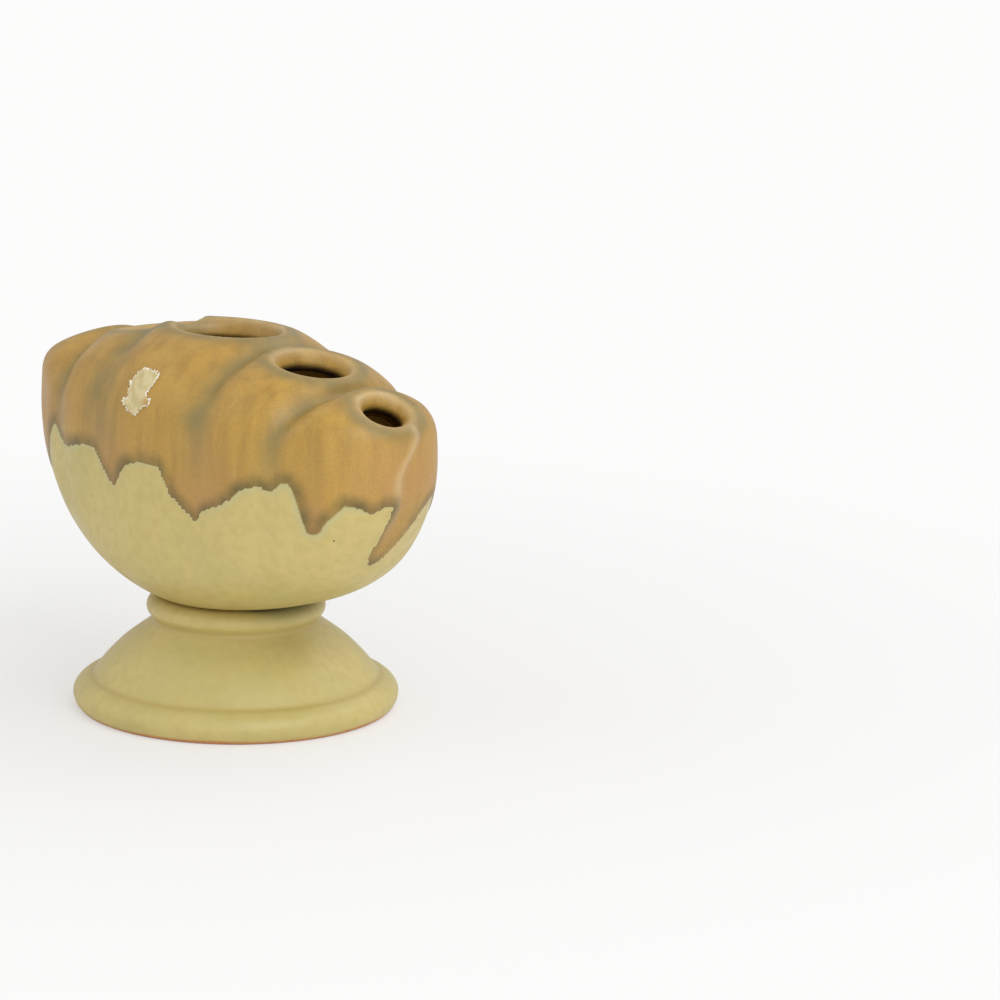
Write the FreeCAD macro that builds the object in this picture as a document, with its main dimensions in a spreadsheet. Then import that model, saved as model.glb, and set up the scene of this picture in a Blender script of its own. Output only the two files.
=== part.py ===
import FreeCAD, Part

# Quintal vase: five flower holders in a fan over one water bowl, on a round moulded foot.
# Millimetres, +Z up. The origin is on the floor, on the axis of the foot. The fan spreads
# along X, and its front faces -Y. Each fired clay member that was formed by itself is a node.

import math
import os

import Sketcher

# name, value, what it measures
SIZES = [
    ("foot_height", 36.0, "floor to the groove under the collar"),
    ("foot_contact_radius", 63.0, "outer edge of the unglazed ring that stands on the floor"),
    ("foot_ring_width", 6.5, "width of that ring"),
    ("foot_rim_radius", 65.4, "fullest radius of the thick rim"),
    ("foot_rim_level", 5.5, "height of that fullest radius"),
    ("foot_rim_top_radius", 57.8, "radius where the rim meets the flare"),
    ("foot_rim_top_level", 12.1, "height where the rim meets the flare"),
    ("foot_step", 0.6, "height of the small step over the rim"),
    ("foot_flare_bow", 120.0, "radius of the convex flare seen from the side"),
    ("foot_neck_radius", 33.6, "radius of the groove at the top of the foot"),
    ("foot_neck_bow", 5.0, "radius of the hollow where the flare turns into the groove"),
    ("foot_wall", 6.5, "thickness of the flare"),
    ("collar_height", 10.5, "height of the beaded ring between foot and bowl"),
    ("collar_radius", 36.0, "fullest radius of the bead"),
    ("collar_wall", 8.0, "thickness of the ring at its neck"),
    ("fan_width", 208.0, "end to end of the fan"),
    ("fan_depth", 102.0, "front to back of the fan at its deepest level"),
    ("widest_rise", 70.5, "height of the widest level over the collar"),
    ("width_drop", 75.4, "how far under the widest level the ends would close"),
    ("width_power", 2.12, "fullness of the fan seen from the front"),
    ("deepest_rise", 42.7, "height of the deepest level over the collar, where bowl and holders join"),
    ("depth_drop", 50.0, "how far under the deepest level front and back would close"),
    ("depth_power", 2.91, "fullness of the fan seen from the end"),
    ("bowl_wall", 5.5, "thickness of the bowl's wall"),
    ("bowl_floor", 6.5, "thickness of the bowl's floor"),
    ("holder_wall", 5.5, "thickness of a holder's wall"),
    ("rim_width", 7.0, "width of the flat rim round each mouth"),
    ("throat_depth", 8.0, "length of the straight throat under each mouth"),
    ("lip_round", 2.0, "height over which the rim's outer edge turns down"),
    ("centre_mouth_rise", 107.0, "height of the centre mouth over the collar"),
    ("centre_mouth_width", 49.0, "centre mouth along the fan"),
    ("centre_mouth_depth", 39.0, "centre mouth across the fan"),
    ("centre_shoulder_rise", 95.0, "height of the centre holder's shoulder"),
    ("centre_shoulder_width", 92.0, "centre holder at its shoulder, along the fan"),
    ("centre_shoulder_depth", 81.0, "centre holder at its shoulder, across the fan"),
    ("centre_lobe_rise", 75.0, "height of the centre holder's lobe"),
    ("centre_lobe_width", 140.0, "centre lobe along the fan, before its neighbours trim it"),
    ("centre_lobe_depth", 95.0, "centre lobe across the fan"),
    ("inner_mouth_place", 45.5, "centre of the inner mouths from the vase's axis"),
    ("inner_mouth_rise", 100.0, "height of the inner mouths over the collar"),
    ("inner_mouth_tilt", 11.0, "lean of the inner mouths, in degrees"),
    ("inner_mouth_width", 31.5, "inner mouth along the fan"),
    ("inner_mouth_depth", 34.0, "inner mouth across the fan"),
    ("inner_shoulder_place", 42.0, "centre of the inner holder's shoulder from the axis"),
    ("inner_shoulder_rise", 88.0, "height of the inner holder's shoulder"),
    ("inner_shoulder_width", 78.0, "inner holder at its shoulder, along the fan"),
    ("inner_shoulder_depth", 76.0, "inner holder at its shoulder, across the fan"),
    ("inner_lobe_place", 24.0, "centre of the inner lobe from the axis"),
    ("inner_lobe_rise", 69.0, "height of the inner holder's lobe"),
    ("inner_lobe_width", 148.0, "inner lobe along the fan, before its neighbours trim it"),
    ("inner_lobe_depth", 94.0, "inner lobe across the fan"),
    ("outer_mouth_place", 88.0, "centre of the outer mouths from the vase's axis"),
    ("outer_mouth_rise", 88.5, "height of the outer mouths over the collar"),
    ("outer_mouth_tilt", 29.0, "lean of the outer mouths, in degrees"),
    ("outer_mouth_width", 20.0, "outer mouth along the fan"),
    ("outer_mouth_depth", 24.0, "outer mouth across the fan"),
    ("outer_shoulder_place", 73.0, "centre of the outer holder's shoulder from the axis"),
    ("outer_shoulder_rise", 78.0, "height of the outer holder's shoulder"),
    ("outer_shoulder_width", 65.0, "outer holder at its shoulder, along the fan"),
    ("outer_shoulder_depth", 68.0, "outer holder at its shoulder, across the fan"),
    ("outer_lobe_place", 52.0, "centre of the outer lobe from the axis"),
    ("outer_lobe_rise", 63.0, "height of the outer holder's lobe"),
    ("outer_lobe_width", 104.0, "outer lobe along the fan, before its neighbour trims it"),
    ("outer_lobe_depth", 80.0, "outer lobe across the fan"),
    ("root_run", 9.0, "height over the joint up to which a holder keeps the fan's own form"),
    ("outer_root_place", 30.0, "centre of the outer holder's root from the axis"),
    ("outer_root_depth", 86.0, "outer holder across the fan at its root"),
    ("lobe_tilt_share", 0.25, "share of its mouth's tilt that a holder has at its lobe"),
    ("shoulder_tilt_share", 0.75, "share of its mouth's tilt that a holder has at its shoulder"),
    ("inner_valley_place", 18.0, "centre and inner holders part here, at the joint's level"),
    ("outer_valley_place", 52.0, "inner and outer holders part here, at the joint's level"),
    ("label_thickness", 0.4, "torn paper label with its dried glue"),
    ("label_width", 18.0, "label across, on the surface of the centre holder"),
    ("label_height", 19.0, "label from its top edge to its lowest corner"),
    ("label_place", -6.5, "middle of the label from the vase's axis"),
    ("label_drop", 19.0, "middle of the label under the centre mouth"),
]

CLEAR = 20.0  # how far a cutting block reaches past what it cuts
BOWL_STEPS = 6
LOOK_FINENESS = 0.2  # millimetres, for the printed extents only
STEP_POWER = 1.7  # sections crowd towards the bowl's foot, where its wall turns fastest

doc = FreeCAD.newDocument("quintal_vase")


def make_sheet():
    """Write the driving dimensions into the document's spreadsheet."""
    sheet = doc.addObject("Spreadsheet::Sheet", "sizes")
    for row, (alias, value, meaning) in enumerate(SIZES, start=1):
        sheet.set(f"A{row}", meaning)
        sheet.set(f"B{row}", str(value))
        sheet.setAlias(f"B{row}", alias)
    doc.recompute()
    return sheet


sheet = make_sheet()
unit_circle = doc.addObject("Part::Circle", "unit_circle")
unit_circle.Radius = 1.0

COLLAR_TOP = "(sizes.foot_height + sizes.collar_height)"
JOINT = f"({COLLAR_TOP} + sizes.deepest_rise)"
WIDEST = f"({COLLAR_TOP} + sizes.widest_rise)"
BLOCK_TOP = f"({COLLAR_TOP} + sizes.centre_mouth_rise + {CLEAR})"


def fan_half_width(level, inset):
    """Half of the fan's width up to its widest level, to a surface inset from the outside."""
    fall = f"({WIDEST} - {level})"
    fullness = f"(1 - ({fall} / (sizes.width_drop - {inset})) ^ sizes.width_power)"
    return f"(sizes.fan_width / 2 - {inset}) * {fullness} ^ (1 / sizes.width_power)"


def fan_half_depth(level, inset):
    """Half of the fan's depth up to its deepest level, to a surface inset from the outside."""
    fall = f"abs({JOINT} - {level})"
    fullness = f"(1 - ({fall} / (sizes.depth_drop - {inset})) ^ sizes.depth_power)"
    return f"(sizes.fan_depth / 2 - {inset}) * {fullness} ^ (1 / sizes.depth_power)"


def add_section(name, half_width, half_depth, place, level, tilt="0"):
    """Add an elliptical section, its centre at (place, 0, level), leaning towards +X by tilt."""
    section = doc.addObject("Part::Scale", name)
    section.Base = unit_circle
    section.Uniform = False
    section.setExpression("XScale", half_width)
    section.setExpression("YScale", half_depth)
    spot = f"vector({place}; 0; {level})"
    section.setExpression("Placement", f"placement({spot}; rotation(vector(0; 1; 0); {tilt}))")
    return section


def add_fan_section(name, level, inset):
    """Add the fan's own horizontal section at a level."""
    width = fan_half_width(level, inset)
    depth = fan_half_depth(level, inset)
    return add_section(name, width, depth, "0", level)


def add_loft(name, sections, straight=False):
    """Skin a solid over the sections, smooth or straight from each one to the next."""
    loft = doc.addObject("Part::Loft", name)
    loft.Sections = sections
    loft.Solid = True
    loft.Ruled = straight
    loft.MaxDegree = 3
    return loft


def is_flat(face):
    """True for the flat end of a loft."""
    return isinstance(face.Surface, Part.Plane)


def end_wire(loft, section):
    """Edge of the loft's flat end at a section."""
    spot = section.Placement.Base
    ends = [face for face in loft.Shape.Faces if is_flat(face)]
    return min(ends, key=lambda end: end.CenterOfMass.distanceToPoint(spot)).OuterWire


def add_wall(label, outside, inside, has_floor=False, straight=False):
    """Add the wall between two nested lofts, whose ends lie in the same planes or have floors.

    The wall is closed face by face: both skins, a ring at the top, and a ring or two floors
    at the bottom.
    """
    skins = [add_loft(f"{label}_outside", outside), add_loft(f"{label}_inside", inside, straight)]
    doc.recompute()
    faces = [face for skin in skins for face in skin.Shape.Faces if not is_flat(face)]
    lows = [end_wire(skins[0], outside[0]), end_wire(skins[1], inside[0])]
    highs = [end_wire(skins[0], outside[-1]), end_wire(skins[1], inside[-1])]
    faces.append(Part.Face(highs))
    if has_floor:
        faces.extend(Part.Face(low) for low in lows)
    else:
        faces.append(Part.Face(lows))
    shell = Part.Shell(faces)
    shell.sewShape()
    solid = Part.Solid(Part.Shell(shell.Faces))
    solid.fix(1e-4, 1e-4, 1e-3)
    if solid.Volume < 0:
        solid.reverse()
    wall = doc.addObject("Part::Feature", label)
    wall.Shape = solid
    return wall


def add_boolean(kind, label, base, tool):
    """Add a cut or a common of two objects."""
    boolean = doc.addObject(f"Part::{kind}", label)
    boolean.Base = base
    boolean.Tool = tool
    boolean.Label = label
    return boolean


def add_profile(body, name, corners, radii):
    """Draw a closed profile in the body's XZ plane, pinned to the sheet."""
    plane = next(item for item in body.Origin.OriginFeatures if item.Role == "XZ_Plane")
    sketch = body.newObject("Sketcher::SketchObject", name)
    sketch.AttachmentSupport = [(plane, "")]
    sketch.MapMode = "FlatFace"
    draw_outline(sketch, corners, radii)
    return sketch


def draw_outline(sketch, corners, radii):
    """Draw a closed outline and pin every corner of it to the sheet.

    corners: (across, up) expressions in order; radii: the arc that leaves a corner, as
    {corner index: (radius expression, bulge)}, with bulge +1 where its centre lies to the left.
    """
    spots = [FreeCAD.Vector(read(across), read(up), 0) for across, up in corners]
    for index, start in enumerate(spots):
        end = spots[(index + 1) % len(spots)]
        if index in radii:
            sketch.addGeometry(arc_between(start, end, read(radii[index][0]), radii[index][1]))
        else:
            sketch.addGeometry(Part.LineSegment(start, end))
    for index, (across, up) in enumerate(corners):
        first = 1 if radii.get(index, ("", 1))[1] > 0 else 2
        before = (index - 1) % len(corners)
        last = 2 if radii.get(before, ("", 1))[1] > 0 else 1
        sketch.addConstraint(Sketcher.Constraint("Coincident", before, last, index, first))
        pin(sketch, Sketcher.Constraint("DistanceX", -1, 1, index, first, read(across)), across)
        pin(sketch, Sketcher.Constraint("DistanceY", -1, 1, index, first, read(up)), up)
        if index in radii:
            radius = radii[index][0]
            pin(sketch, Sketcher.Constraint("Radius", index, read(radius)), radius)


def pin(sketch, constraint, expression):
    """Add a constraint and tie its value to an expression."""
    index = sketch.addConstraint(constraint)
    sketch.setExpression(f"Constraints[{index}]", expression)


def arc_between(start, end, radius, bulge):
    """Arc of a given radius between two points, its centre left of the way for bulge +1."""
    chord = end - start
    middle = (start + end) * 0.5
    left = FreeCAD.Vector(-chord.y, chord.x, 0).normalize()
    reach = math.sqrt(radius ** 2 - (chord.Length / 2) ** 2)
    centre = middle + left * (reach * bulge)
    angles = [math.atan2(point.y - centre.y, point.x - centre.x) for point in (start, end)]
    if bulge < 0:
        angles.reverse()
    circle = Part.Circle(centre, FreeCAD.Vector(0, 0, 1), radius)
    return Part.ArcOfCircle(circle, angles[0], angles[1])


def read(expression):
    """Value of an expression over the sheet, as a plain number."""
    return float(sheet.evalExpression(expression.replace("sizes.", "")))


def add_turned_body(label, corners, radii):
    """Add a body turned about the vase's axis from one profile."""
    body = doc.addObject("PartDesign::Body", label)
    body.Label = label
    sketch = add_profile(body, f"{label}_profile", corners, radii)
    turned = body.newObject("PartDesign::Revolution", f"{label}_turned")
    turned.Profile = sketch
    turned.ReferenceAxis = (sketch, ["V_Axis"])
    turned.Angle = 360.0
    return body


def make_foot():
    """Hollow foot: thick rim on an unglazed ring, convex flare, groove under the collar."""
    inner_radius = "(sizes.foot_contact_radius - sizes.foot_ring_width)"
    step_level = "(sizes.foot_rim_top_level + sizes.foot_step)"
    flare_end = "(sizes.foot_neck_radius + sizes.foot_neck_bow * 0.5)"
    flare_end_level = "(sizes.foot_height - sizes.foot_neck_bow * 0.8)"
    neck_bore = "(sizes.foot_neck_radius - sizes.collar_wall)"
    corners = [
        (inner_radius, "0"),
        ("sizes.foot_contact_radius", "0"),
        ("sizes.foot_rim_radius", "sizes.foot_rim_level"),
        ("sizes.foot_rim_top_radius", "sizes.foot_rim_top_level"),
        ("sizes.foot_rim_top_radius", step_level),
        (flare_end, flare_end_level),
        ("sizes.foot_neck_radius", "sizes.foot_height"),
        (neck_bore, "sizes.foot_height"),
        (neck_bore, f"({flare_end_level} - sizes.foot_wall * 0.5)"),
        (inner_radius, f"({step_level} - sizes.foot_wall * 0.9)"),
    ]
    radii = {
        1: ("sizes.foot_rim_level * 1.3", 1),
        2: ("sizes.foot_rim_level * 1.45", 1),
        4: ("sizes.foot_flare_bow", 1),
        5: ("sizes.foot_neck_bow", -1),
        8: ("sizes.foot_flare_bow", -1),
    }
    return add_turned_body("foot", corners, radii)


def make_collar():
    """Beaded ring that joins the foot to the bowl."""
    bore = "(sizes.foot_neck_radius - sizes.collar_wall)"
    corners = [
        (bore, "sizes.foot_height"),
        ("sizes.foot_neck_radius", "sizes.foot_height"),
        ("sizes.collar_radius", f"({COLLAR_TOP} - sizes.collar_height * 0.55)"),
        ("sizes.foot_neck_radius", COLLAR_TOP),
        (bore, COLLAR_TOP),
    ]
    radii = {
        1: ("sizes.collar_height * 0.62", 1),
        2: ("sizes.collar_height * 0.68", 1),
    }
    return add_turned_body("collar_ring", corners, radii)


def make_bowl():
    """Water bowl: the lower shell of the fan, closed at its floor, open at the joint."""
    outside = []
    inside = []
    floor = f"({COLLAR_TOP} + sizes.bowl_floor)"
    for step in range(BOWL_STEPS + 1):
        share = (step / BOWL_STEPS) ** STEP_POWER
        level = f"({COLLAR_TOP} + sizes.deepest_rise * {share:.4f})"
        outside.append(add_fan_section(f"bowl_outside_{step}", level, "0"))
        level = f"({floor} + ({JOINT} - {floor}) * {share:.4f})"
        inside.append(add_fan_section(f"bowl_inside_{step}", level, "sizes.bowl_wall"))
    return add_wall("bowl", outside, inside, has_floor=True)


class Holder:
    """One flower holder: its shell between two valleys, from the joint up to its mouth."""

    def __init__(self, label, kind, side):
        self.label = label
        self.kind = kind
        self.side = side

    def size(self, name):
        """Expression of one of this kind's sizes; the centre holder stands on the axis."""
        if self.kind == "centre" and name.endswith(("place", "tilt")):
            return "0"
        return f"sizes.{self.kind}_{name}"

    def mouth_section(self, name, depth, spread):
        """Section square to the mouth's axis, wider than the mouth by spread all round."""
        tilt = f"({self.side} * {self.size('mouth_tilt')})"
        place = f"({self.side} * {self.size('mouth_place')} - sin({tilt} * 1 deg) * ({depth}))"
        level = f"({COLLAR_TOP} + {self.size('mouth_rise')} - cos({tilt} * 1 deg) * ({depth}))"
        width = f"({self.size('mouth_width')} / 2 + {spread})"
        breadth = f"({self.size('mouth_depth')} / 2 + {spread})"
        return add_section(f"{self.label}_{name}", width, breadth, place, level, tilt)

    def body_section(self, name, part, inset, lower="0"):
        """Section of the holder's lobe or shoulder, inset from the outside and lowered."""
        place = f"({self.side} * {self.size(part + '_place')})"
        level = f"({COLLAR_TOP} + {self.size(part + '_rise')} - {lower})"
        width = f"({self.size(part + '_width')} / 2 - {inset})"
        breadth = f"({self.size(part + '_depth')} / 2 - {inset})"
        tilt = f"({self.side} * {self.size('mouth_tilt')} * sizes.{part}_tilt_share)"
        return add_section(f"{self.label}_{name}_{part}", width, breadth, place, level, tilt)

    def root_section(self, name, rise, inset):
        """Section rise over the joint: the fan's own, or the outer holder's at the fan's end."""
        label = f"{self.label}_{name}_root"
        level = f"({JOINT} + {rise})"
        if self.kind != "outer":
            return add_fan_section(label, level, inset)
        place = self.size("root_place")
        width = f"({fan_half_width(level, inset)} - {place})"
        breadth = f"({self.size('root_depth')} / 2 - {inset})"
        return add_section(label, width, breadth, f"({self.side} * {place})", level)

    def outside(self, name="outside"):
        """Outer sections of the holder, from the joint up to its rim."""
        sections = [self.root_section(name, "0", "0")]
        if self.kind != "outer":
            sections.append(self.root_section(name, "sizes.root_run", "0"))
        return sections + [
            self.body_section(name, "lobe", "0"),
            self.body_section(name, "shoulder", "0"),
            self.mouth_section(f"{name}_rim", "sizes.lip_round", "sizes.rim_width"),
            self.mouth_section(f"{name}_lip", "0", "(sizes.rim_width - sizes.lip_round / 2)"),
        ]

    def inside(self):
        """Inner sections of the holder: chamber below, straight throat under the mouth."""
        ceiling = "sizes.holder_wall * 1.5"
        return [
            self.root_section("inside", "0", "sizes.holder_wall"),
            self.body_section("inside", "lobe", "sizes.holder_wall"),
            self.body_section("inside", "shoulder", "sizes.holder_wall", ceiling),
            self.mouth_section("inside_throat", "sizes.throat_depth", "0.5"),
            self.mouth_section("inside_mouth", "0", "0"),
        ]

    def block(self):
        """Block between the holder's two valleys, from the joint up past the mouth."""
        low = [valley(edge, JOINT) for edge in self.edges()]
        high = [valley(edge, BLOCK_TOP) for edge in self.edges()]
        reach = f"(sizes.fan_depth / 2 + {CLEAR})"
        block = doc.addObject("Part::Wedge", f"{self.label}_block")
        block.setExpression("Ymin", JOINT)
        block.setExpression("Ymax", BLOCK_TOP)
        block.setExpression("Xmin", low[0])
        block.setExpression("Xmax", low[1])
        block.setExpression("X2min", high[0])
        block.setExpression("X2max", high[1])
        for end in ("Zmin", "Z2min"):
            block.setExpression(end, f"-1 * {reach}")
        for end in ("Zmax", "Z2max"):
            block.setExpression(end, reach)
        turn = "rotation(vector(1; 0; 0); 90)"
        block.setExpression("Placement", f"placement(vector(0; 0; 0); {turn})")
        return block

    def edges(self):
        """The holder's two bounds from left to right: -3 to 3, with 3 past the fan's end."""
        if self.kind == "centre":
            return (-1, 1)
        bounds = (1, 2) if self.kind == "inner" else (2, 3)
        return bounds if self.side > 0 else (-bounds[1], -bounds[0])

    def build(self):
        """Shell of the holder, trimmed to its share of the fan."""
        wall = add_wall(f"{self.label}_wall", self.outside(), self.inside(), straight=True)
        return add_boolean("Common", self.label, wall, self.block())


def add_mirrored(label, source):
    """Add the mirror image of an object across the vase's middle."""
    twin = doc.addObject("Part::Mirroring", label)
    twin.Source = source
    twin.Base = FreeCAD.Vector(0, 0, 0)
    twin.Normal = FreeCAD.Vector(1, 0, 0)
    twin.Label = label
    return twin


def valley(edge, level):
    """Place along X of a valley plane at a level, halfway between the two mouths it parts."""
    side = "1" if edge > 0 else "-1"
    if abs(edge) == 3:
        return f"({side} * (sizes.fan_width / 2 + {CLEAR}))"
    near, far = ("centre", "inner") if abs(edge) == 1 else ("inner", "outer")
    near_place = "0" if near == "centre" else "sizes.inner_mouth_place"
    near_end = f"({near_place} + sizes.{near}_mouth_width / 2)"
    far_end = f"(sizes.{far}_mouth_place - sizes.{far}_mouth_width / 2)"
    top_place = f"(({near_end} + {far_end}) / 2)"
    top_rise = f"((sizes.{near}_mouth_rise + sizes.{far}_mouth_rise) / 2)"
    foot_place = f"sizes.{far}_valley_place"
    lean = f"({top_place} - {foot_place}) / ({top_rise} - sizes.deepest_rise)"
    return f"({side} * ({foot_place} + {lean} * ({level} - {JOINT})))"


def torn_outline():
    """Outline of the torn label seen from the front, as shares of its width and height."""
    return [
        (-0.12, 0.50),
        (0.50, 0.44),
        (0.44, 0.14),
        (0.30, 0.02),
        (0.36, -0.06),
        (0.50, -0.10),
        (0.40, -0.30),
        (0.10, -0.50),
        (-0.24, -0.44),
        (-0.50, -0.22),
        (-0.38, -0.12),
        (-0.32, 0.10),
        (-0.34, 0.26),
        (-0.24, 0.40),
    ]


def make_label(holder):
    """Scrap of paper label, torn round its edge, stuck to the front of the centre holder.

    The torn outline is projected onto the holder's own outer skin, and the patch that it
    bounds there is given the paper's thickness, so that the scrap lies on the clay.
    """
    skin = add_loft("label_skin", holder.outside("label"))
    skin.Solid = False
    level = f"({COLLAR_TOP} + sizes.centre_mouth_rise - sizes.label_drop)"
    corners = []
    for across, up in torn_outline():
        spot = f"(sizes.label_place + sizes.label_width * {across})"
        corners.append((spot, f"({level} + sizes.label_height * {up})"))
    outline = doc.addObject("Sketcher::SketchObject", "label_outline")
    outline.Placement.Rotation = FreeCAD.Rotation(FreeCAD.Vector(1, 0, 0), 90)
    draw_outline(outline, corners, {})
    cutter = add_run("label_cutter", outline, f"sizes.fan_depth / 2 + {CLEAR}")
    patch = add_boolean("Common", "label_patch", skin, cutter)
    return add_run("paper_label", patch, "sizes.label_thickness")


def add_run(label, base, length):
    """Add a solid that runs from a flat or curved outline towards the front."""
    run = doc.addObject("Part::Extrusion", label)
    run.Label = label
    run.Base = base
    run.DirMode = "Custom"
    run.Dir = FreeCAD.Vector(0, -1, 0)
    run.setExpression("LengthFwd", length)
    run.Solid = True
    return run


def check_document():
    """Stop if any object of the document failed."""
    failed = []
    for item in doc.Objects:
        if "Invalid" in item.State or "Error" in item.State:
            failed.append(item.Label)
    if failed:
        raise RuntimeError(f"failed objects: {failed}")


def export_nodes(nodes):
    """Write each sub-part to its own file, after a look at its solid."""
    os.makedirs("parts", exist_ok=True)
    for node in nodes:
        shape = node.Shape
        if shape.isNull() or not shape.isValid() or len(shape.Solids) != 1:
            raise RuntimeError(f"{node.Label} isn't one valid solid")
    for node in nodes:
        node.Shape.exportStep(f"parts/{node.Label}.step")
        points = node.Shape.tessellate(LOOK_FINENESS)[0]
        spans = []
        for axis in "xyz":
            values = [getattr(point, axis) for point in points]
            spans.append(f"{axis} {min(values):.1f} to {max(values):.1f}")
        print(f"{node.Label}: {node.Shape.Volume:.0f} mm3, {', '.join(spans)}")


def main():
    """Build every member of the vase and write it out."""
    nodes = [make_foot(), make_collar(), make_bowl()]
    centre = Holder("finger_centre", "centre", -1)
    nodes.append(centre.build())
    for place, kind in (("", "inner"), ("far_", "outer")):
        left = Holder(f"finger_{place}left", kind, -1).build()
        nodes.append(left)
        nodes.append(add_mirrored(f"finger_{place}right", left))
    nodes.append(make_label(centre))
    doc.recompute()
    check_document()
    export_nodes(nodes)


main()
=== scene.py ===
"""Quintal vase: a fan of five flower holders on a round foot, in drip-glazed pottery.

The fan is one smooth glazed form, worked out as a field of distances and skinned with a net
of quads. The foot and its collar are turned. A torn paper label lies on the centre holder.
Lengths are in millimetres until a mesh is made, which is in metres.
"""

import logging
import math
from collections.abc import Callable
from dataclasses import dataclass, replace
from enum import Enum

import bpy
import numpy as np
from mathutils import Euler, Matrix, Vector

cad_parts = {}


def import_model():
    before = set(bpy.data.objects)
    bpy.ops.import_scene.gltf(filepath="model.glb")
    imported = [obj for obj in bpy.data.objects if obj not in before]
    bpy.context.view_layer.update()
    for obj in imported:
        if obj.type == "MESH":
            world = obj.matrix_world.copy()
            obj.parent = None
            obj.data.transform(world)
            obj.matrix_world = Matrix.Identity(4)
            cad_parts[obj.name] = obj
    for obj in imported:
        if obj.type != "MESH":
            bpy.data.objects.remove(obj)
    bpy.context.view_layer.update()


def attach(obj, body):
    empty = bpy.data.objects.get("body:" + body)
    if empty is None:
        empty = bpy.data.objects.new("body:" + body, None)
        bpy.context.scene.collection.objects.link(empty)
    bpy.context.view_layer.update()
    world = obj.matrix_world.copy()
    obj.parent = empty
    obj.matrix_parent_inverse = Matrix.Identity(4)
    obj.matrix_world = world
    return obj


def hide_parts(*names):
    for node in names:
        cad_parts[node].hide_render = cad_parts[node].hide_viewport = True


LOG = logging.getLogger("vase")
MM = 0.001

Rgb = tuple[float, float, float]
Number = float | np.ndarray
Field = Callable[[np.ndarray], np.ndarray]
Socket = bpy.types.NodeSocket


def linear(red: int, green: int, blue: int) -> Rgb:
    """Turn a display colour into the linear one that a shader takes, by the standard curve.

    Args:
        red: Red from 0 to 255.
        green: Green from 0 to 255.
        blue: Blue from 0 to 255.

    Returns:
        The same colour, linear, from 0 to 1.
    """
    shares = [value / 255 for value in (red, green, blue)]
    return tuple(s / 12.92 if s < 0.04045 else ((s + 0.055) / 1.055) ** 2.4 for s in shares)


def smooth_max(first: np.ndarray, second: np.ndarray, radius: float) -> np.ndarray:
    """Join two fields by what lies in both, with a rounded edge.

    Args:
        first: Distances to the first form, negative inside.
        second: Distances to the second form.
        radius: Width of the rounding.

    Returns:
        Distances to the form that they share.
    """
    overlap = np.maximum(radius - np.abs(first - second), 0.0) / radius
    return np.maximum(first, second) + overlap * overlap * radius / 4


def smooth_min(first: np.ndarray, second: np.ndarray, radius: float) -> np.ndarray:
    """Join two fields by what lies in either, with a filled corner.

    Args:
        first: Distances to the first form, negative inside.
        second: Distances to the second form.
        radius: Width of the filling.

    Returns:
        Distances to both forms together.
    """
    return -smooth_max(-first, -second, radius)


def ramp(values: np.ndarray, start: Number, length: float) -> np.ndarray:
    """Rise from 0 to 1 along a length.

    Args:
        values: Where to read the rise.
        start: Where it starts.
        length: How far it takes to reach 1.

    Returns:
        The rise, held at 0 before the start and at 1 after the end.
    """
    return np.clip((values - start) / length, 0.0, 1.0)


def oval_distance(x: np.ndarray, y: np.ndarray, half_x: Number, half_y: Number,
                  square: Number = 2.0) -> np.ndarray:
    """Measure distances to an oval about the origin.

    Args:
        x: First coordinates.
        y: Second coordinates.
        half_x: Half of the oval's width.
        half_y: Half of its depth.
        square: 2 for an ellipse, and more for a squarer oval.

    Returns:
        Distances, negative inside.
    """
    off_centre = 1e-4
    shares = (np.abs(x) / half_x + off_centre, np.abs(y) / half_y + off_centre)
    reach = (shares[0] ** square + shares[1] ** square) ** (1 / square)
    tilts = (shares[0] ** (square - 1) / half_x, shares[1] ** (square - 1) / half_y)
    return reach ** (square - 1) * (reach - 1) / np.sqrt(tilts[0] ** 2 + tilts[1] ** 2)


@dataclass(frozen=True)
class FanSizes:
    """Sizes of the fan, from the photo's outline."""

    base: float = 46.5
    floor: float = 53.0
    half_width: float = 104.0
    widest: float = 117.0
    width_drop: float = 73.0
    width_power: float = 2.12
    half_depth: float = 51.0
    deepest: float = 89.2
    depth_drop: float = 46.8
    depth_rise: float = 85.0
    depth_power: float = 2.91
    wall: float = 5.5
    holder_joint: float = 4.0
    shoulder_joint: float = 6.0
    base_round: float = 1.5
    rim_round: float = 2.2
    roof_walls: float = 1.6
    roof_inset: float = 1.5
    roof_round: float = 5.0
    floor_round: float = 8.0
    throat_joint: float = 3.0
    valley_width: float = 6.5
    valley_foot: float = 100.0
    valley_rise: float = 30.0
    seam_height: float = 0.9
    seam_width: float = 2.0
    seam_foot: float = 82.0
    seam_fade: float = 14.0
    seam_bend: float = 110.0
    seam_bend_rise: float = 18.0
    seam_shift: float = 4.5
    seam_reach: float = 88.0
    seam_blend: float = 3.0


@dataclass(frozen=True)
class HolderSizes:
    """Sizes of one flower holder: its dome and the mouth that cuts it."""

    mouth_x: float
    mouth_z: float
    lean: float
    hole: tuple[float, float]
    top: tuple[float, float]
    shoulder: tuple[float, float]
    shoulder_drop: float
    lip_roll: float = 4.0
    roll_drop: float = 7.5
    throat_drop: float = 24.0
    roll_power: float = 1.8
    swell_power: float = 1.4
    swell_bulge: float = 0.6
    swell_deep: float = 0.75
    squareness: float = 0.65
    square_rise: float = 3.5
    rim_round: float = 2.6
    rim_middle: float = 4.0
    rim_spread: float = 3.4
    rim_depth: float = 4.0
    gloom_start: float = 0.72
    gloom_length: float = 2.2
    nod: float = 2.6

    def mirrored(self) -> "HolderSizes":
        """Return the same holder on the other side of the vase."""
        return replace(self, mouth_x=-self.mouth_x, lean=-self.lean)


@dataclass(frozen=True)
class HolderFrame:
    """Coordinates of points measured along one holder's own axes."""

    across: np.ndarray
    deep: np.ndarray
    up: np.ndarray


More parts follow.
